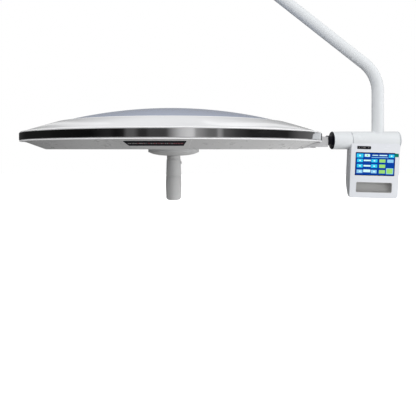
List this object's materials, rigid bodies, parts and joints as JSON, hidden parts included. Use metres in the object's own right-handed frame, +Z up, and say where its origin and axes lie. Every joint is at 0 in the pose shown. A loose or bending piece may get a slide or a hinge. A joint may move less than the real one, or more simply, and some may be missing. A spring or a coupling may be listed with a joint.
{
  "type": "dental operating light",
  "caption": "Round reflector operating light head on a half yoke: it swivels, tilts and focuses by its centre handle, and has a touch-screen control box.",
  "frame": {"origin": "centre of the spindle at its shoulder, where the ceiling arm's socket seats", "axes": "+Z up along the spindle, towards the ceiling arm; +X towards the yoke's tilt joint; the screen faces -Y"},
  "size_m": [0.907, 0.7, 0.9275],
  "materials": {
    "steel": "turned and zinc-plated steel",
    "white_paint": "smooth light-grey-white powder coat, semi-gloss",
    "bronze": "sintered bronze",
    "cable_white": "white silicone cable",
    "black_plastic": "glossy black plastic",
    "aluminium": "machined aluminium",
    "white_plastic": "glossy white moulded ABS",
    "display": "liquid-crystal display module",
    "screen_glass": "touch glass over a lit blue screen",
    "green_film": "green pull tab of the screen's film",
    "liner_plastic": "satin grey moulded tray",
    "board": "solder-masked circuit board",
    "bracket_silver": "silver-grey painted cast aluminium",
    "cap_plastic": "glossy pale blue-grey moulded dome",
    "white_seal": "satin white silicone",
    "rim_chrome": "mirror-polished stainless steel band",
    "bezel_plastic": "satin light grey moulded plastic",
    "lens_glass": "clear flat protective glass",
    "mirror_coat": "vacuum-coated faceted reflector",
    "handle_plastic": "satin grey autoclavable plastic",
    "led": "phosphor LED domes",
    "anodised": "black anodised aluminium"
  },
  "bodies": {
    "mount": {"spindle": "steel", "swivel_stop_pin": "steel", "retaining_ring": "steel"},
    "yoke": {"swivel_collar": "white_paint", "swivel_bushes": "bronze", "stop_screw": "steel", "brake_screws": "steel", "yoke_tube": "white_paint", "yoke_cable": "cable_white", "joint_housing": "white_paint", "housing_end_cap": "white_paint", "bearing_sleeve": "white_paint", "shaft_cover": "black_plastic", "tilt_bushes": "bronze", "tilt_stop_pin": "steel", "box_saddle": "aluminium", "box_front": "white_plastic", "box_back": "white_plastic", "display_panel": "display", "touch_glass": "screen_glass", "film_tab": "green_film", "label_plate": "black_plastic", "grip_liner": "liner_plastic", "control_board": "board", "box_screws": "steel"},
    "head": {"rim_bracket": "bracket_silver", "bracket_screws": "steel", "tilt_shaft": "steel", "spring_washers": "steel", "shaft_nut": "steel", "head_cable": "cable_white", "head_frame": "aluminium", "rim_core": "aluminium", "dome_cap": "cap_plastic", "shell_ring": "white_plastic", "upper_seal": "white_seal", "lower_seal": "white_seal", "rim_band": "rim_chrome", "bezel": "bezel_plastic", "bezel_screws": "steel", "badge_plinth": "bezel_plastic", "badge_plate": "black_plastic", "front_lens": "lens_glass", "lens_gasket": "white_seal", "lens_ring": "aluminium", "reflector": "mirror_coat", "driver_board": "board", "centre_plate": "aluminium", "guide_rods": "steel", "centre_flange": "bezel_plastic"},
    "handle": {"focus_spindle": "handle_plastic", "spindle_clip": "steel", "grip_upper": "handle_plastic", "grip_lower": "handle_plastic"},
    "catch": {"release_catch": "handle_plastic"},
    "lamp": {"led_column": "aluminium", "led_boards": "board", "leds": "led", "heat_sink": "anodised"}
  },
  "joints": [
    {"name": "yoke_swivel", "type": "hinge", "parent": "mount", "child": "yoke", "pos_m": [0, 0, 0], "axis": [0, 0, 1], "range_deg": [-160, 160]},
    {"name": "head_tilt", "type": "hinge", "parent": "yoke", "child": "head", "pos_m": [0, 0, -0.723], "axis": [1, 0, 0], "range_deg": [-110, 110]},
    {"name": "handle_turn", "type": "hinge", "parent": "head", "child": "handle", "pos_m": [0, 0, -0.745], "axis": [0, 0, 1], "range_deg": [-90, 90]},
    {"name": "focus_slide", "type": "slide", "parent": "head", "child": "lamp", "axis": [0, 0, 1], "range_m": [-0.005, 0.005]},
    {"name": "catch_press", "type": "slide", "parent": "handle", "child": "catch", "axis": [-1, 0, 0], "range_m": [0, 0.0018], "stiffness_N_per_m": 800, "springref_m": -0.002}
  ],
  "couplings": [
    {"joint": "handle_turn", "follows": "focus_slide", "rad_per_m": 314.16}
  ]
}
